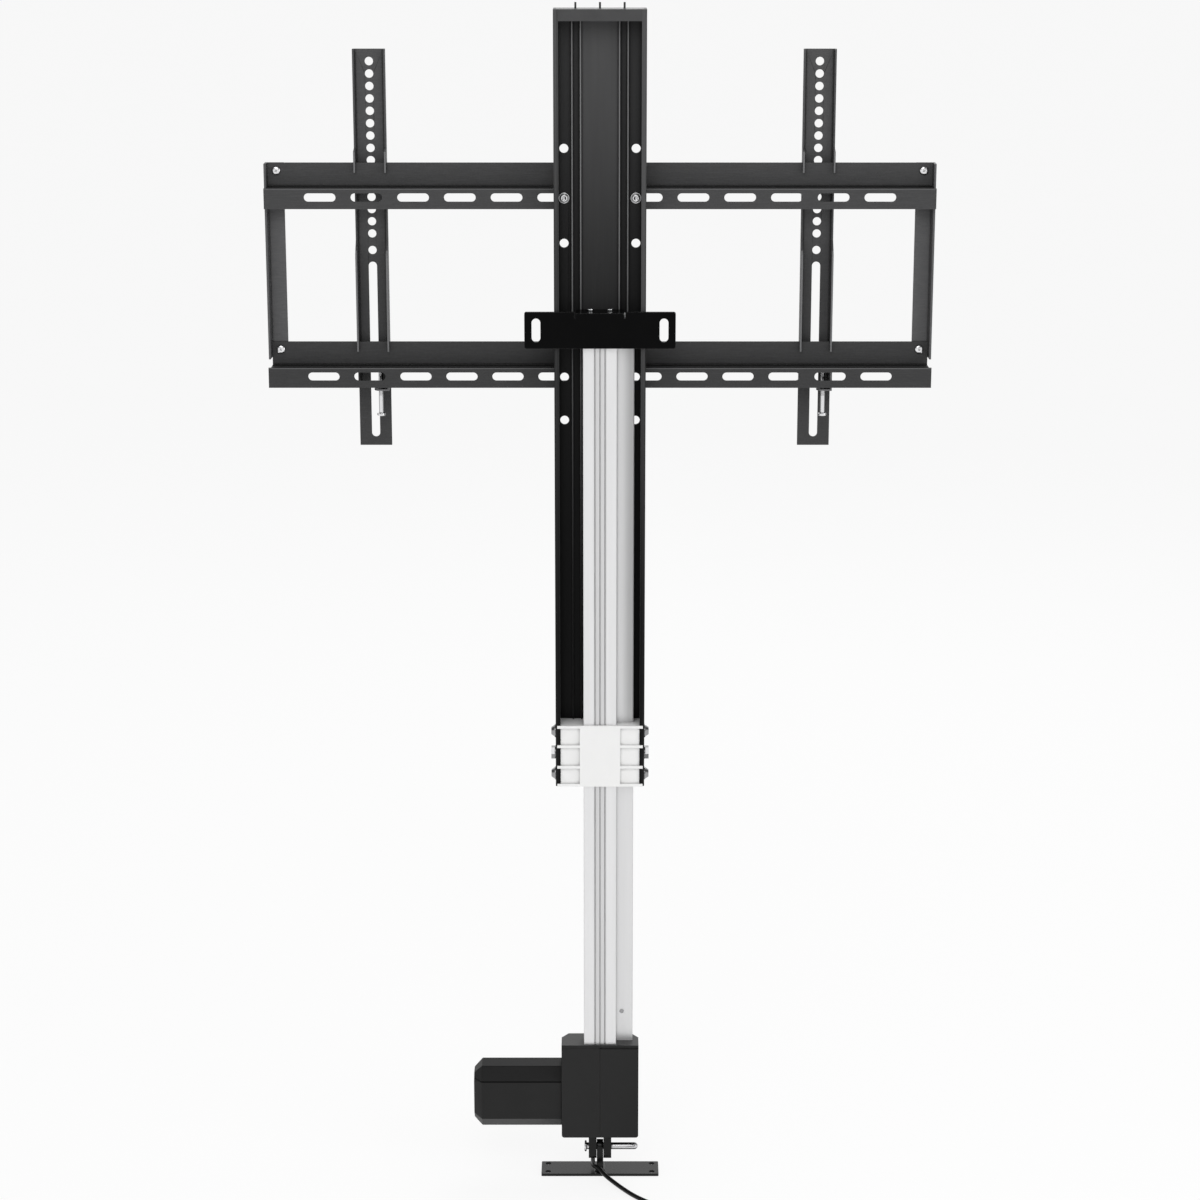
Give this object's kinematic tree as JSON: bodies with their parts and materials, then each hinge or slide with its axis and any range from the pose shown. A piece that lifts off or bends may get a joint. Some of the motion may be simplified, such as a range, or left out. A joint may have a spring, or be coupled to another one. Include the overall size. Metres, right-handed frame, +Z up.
{
  "type": "tv lift mechanism",
  "caption": "Motorised screw lift that raises a slotted TV frame on a column along a fixed guide profile.",
  "frame": {"origin": "middle of the foot plate's underside", "axes": "+Z up along the lift, +Y towards the TV, +X to the right seen from the back of the cabinet"},
  "size_m": [0.72, 0.2681, 1.3312],
  "materials": {
    "housing_plastic": "matt dark grey moulded plastic, fine texture",
    "switch_plastic": "satin black moulded plastic",
    "white_nylon": "satin white moulded nylon",
    "black_rubber": "satin black flexible PVC",
    "black_steel": "black painted steel",
    "gloss_black_steel": "glossy black painted steel",
    "frame_steel": "dark grey powder coat, fine texture",
    "black_aluminium": "black anodised extrusion with fine draw lines",
    "clear_aluminium": "clear anodised extrusion, satin",
    "zinc_steel": "bright zinc plated steel",
    "bright_steel": "ground steel",
    "dark_steel": "blackened steel",
    "bronze": "machined bronze"
  },
  "bodies": {
    "base": {"gearbox_housing_left": "housing_plastic", "gearbox_housing_right": "housing_plastic", "housing_screws": "dark_steel", "clevis_bracket": "black_steel", "clevis_pin": "zinc_steel", "motor_cover": "housing_plastic", "motor_can": "zinc_steel", "worm_bush": "bronze", "lower_bearing": "bright_steel", "upper_bearing": "bright_steel", "guide_profile": "clear_aluminium", "top_end_block": "white_nylon", "limit_switch_lower": "switch_plastic", "limit_switch_upper": "switch_plastic", "switch_screws": "dark_steel", "wall_bracket": "gloss_black_steel", "bracket_screws": "zinc_steel", "lead_gland": "black_rubber", "motor_lead": "black_rubber", "motor_lead_coil": "black_rubber", "motor_lead_tail": "black_rubber", "lead_connector": "switch_plastic"},
    "foot": {"foot_plate": "black_steel"},
    "screw": {"lead_screw": "bright_steel", "worm_wheel": "bronze"},
    "worm": {"worm_shaft": "bright_steel"},
    "carriage": {"carriage_block": "white_nylon", "drive_nut": "white_nylon", "carriage_round_bolts": "zinc_steel", "carriage_hex_bolts": "zinc_steel", "column_channel": "black_aluminium", "column_cap": "switch_plastic", "cap_studs": "dark_steel", "top_rail": "frame_steel", "bottom_rail": "frame_steel", "side_bar_left": "frame_steel", "side_bar_right": "frame_steel", "frame_screws": "zinc_steel", "frame_nuts": "zinc_steel", "column_bolts": "zinc_steel", "column_nuts": "zinc_steel"},
    "arm_left": {"tv_arm_left": "frame_steel"},
    "arm_right": {"tv_arm_right": "frame_steel"},
    "lock_left": {"lock_screw_left": "zinc_steel"},
    "lock_right": {"lock_screw_right": "zinc_steel"}
  },
  "joints": [
    {"name": "foot_hinge", "type": "hinge", "parent": "base", "child": "foot", "pos_m": [0, 0, 0.0305], "axis": [1, 0, 0], "range_deg": [-8, 8]},
    {"name": "lift_slide", "type": "slide", "parent": "base", "child": "carriage", "axis": [0, 0, 1], "range_m": [-0.3, 0.4]},
    {"name": "screw_turn", "type": "hinge", "parent": "base", "child": "screw", "pos_m": [0, -0.00175, 0.0939], "axis": [0, 0, 1], "continuous": true},
    {"name": "worm_turn", "type": "hinge", "parent": "base", "child": "worm", "pos_m": [0, 0.01375, 0.0939], "axis": [1, 0, 0], "continuous": true},
    {"name": "arm_left_slide", "type": "slide", "parent": "carriage", "child": "arm_left", "axis": [1, 0, 0], "range_m": [-0.053, 0.147]},
    {"name": "arm_right_slide", "type": "slide", "parent": "carriage", "child": "arm_right", "axis": [1, 0, 0], "range_m": [-0.135, 0.065]},
    {"name": "lock_left_travel", "type": "slide", "parent": "arm_left", "child": "lock_left", "axis": [0, 0, 1], "range_m": [-0.02, 0]},
    {"name": "lock_right_travel", "type": "slide", "parent": "arm_right", "child": "lock_right", "axis": [0, 0, 1], "range_m": [-0.02, 0]}
  ],
  "couplings": [
    {"joint": "screw_turn", "follows": "lift_slide", "rad_per_m": 523.6},
    {"joint": "worm_turn", "follows": "lift_slide", "rad_per_m": 10996}
  ]
}
